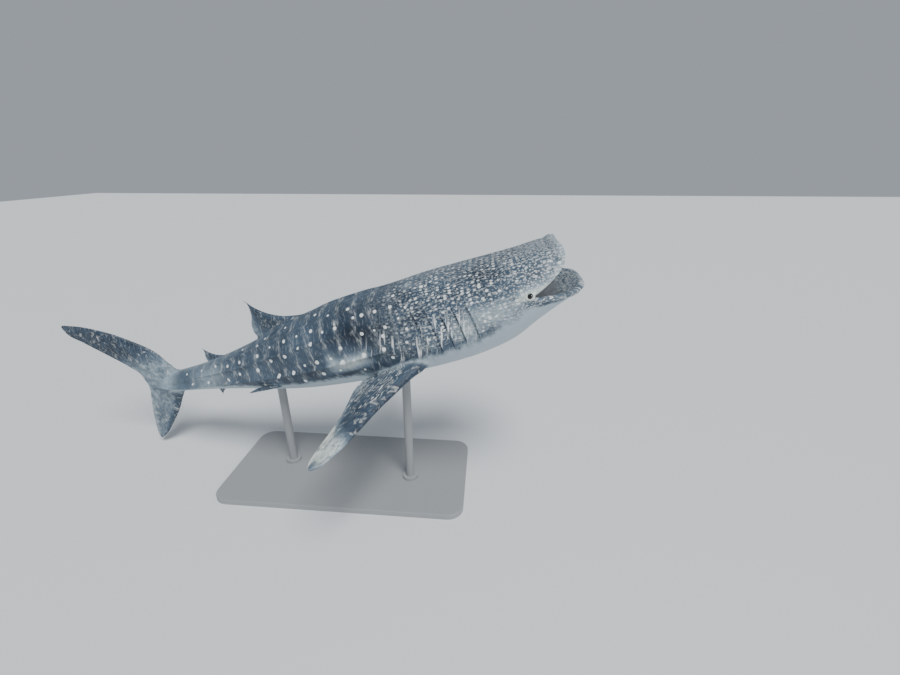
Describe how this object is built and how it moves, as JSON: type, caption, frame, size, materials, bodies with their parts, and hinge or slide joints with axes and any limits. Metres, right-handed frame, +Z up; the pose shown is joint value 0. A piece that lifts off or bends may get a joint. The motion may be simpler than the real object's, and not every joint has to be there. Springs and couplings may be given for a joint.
{
  "type": "whale shark",
  "caption": "Life-size whale shark swimming nose up with its wide mouth open, held by upright rods on a flat display base.",
  "frame": {"origin": "centre of the underside of the stand's flat base", "axes": "+Z up; +X the way the animal's head points in plan, so +Y is towards its left; the nose is pitched up by about 23 degrees"},
  "size_m": [5.7324, 2.6685, 2.7651],
  "materials": {
    "upper_skin": "dark slate hide with pale round spots and bars",
    "belly_skin": "pale grey-white hide of the underside",
    "eye": "wet dark eye",
    "stand": "plain satin grey paint"
  },
  "bodies": {
    "root": {"head": "upper_skin", "trunk": "upper_skin", "rear_trunk": "upper_skin", "tail_stalk": "upper_skin", "lower_jaw": "belly_skin", "first_dorsal_fin": "upper_skin", "second_dorsal_fin": "upper_skin", "anal_fin": "upper_skin", "pectoral_fin_left": "upper_skin", "pectoral_fin_right": "upper_skin", "pelvic_fin_left": "upper_skin", "pelvic_fin_right": "upper_skin", "caudal_fin": "upper_skin", "eye_left": "eye", "eye_right": "eye", "stand_base": "stand", "stand_rod_front": "stand", "stand_rod_rear": "stand"}
  },
  "joints": []
}
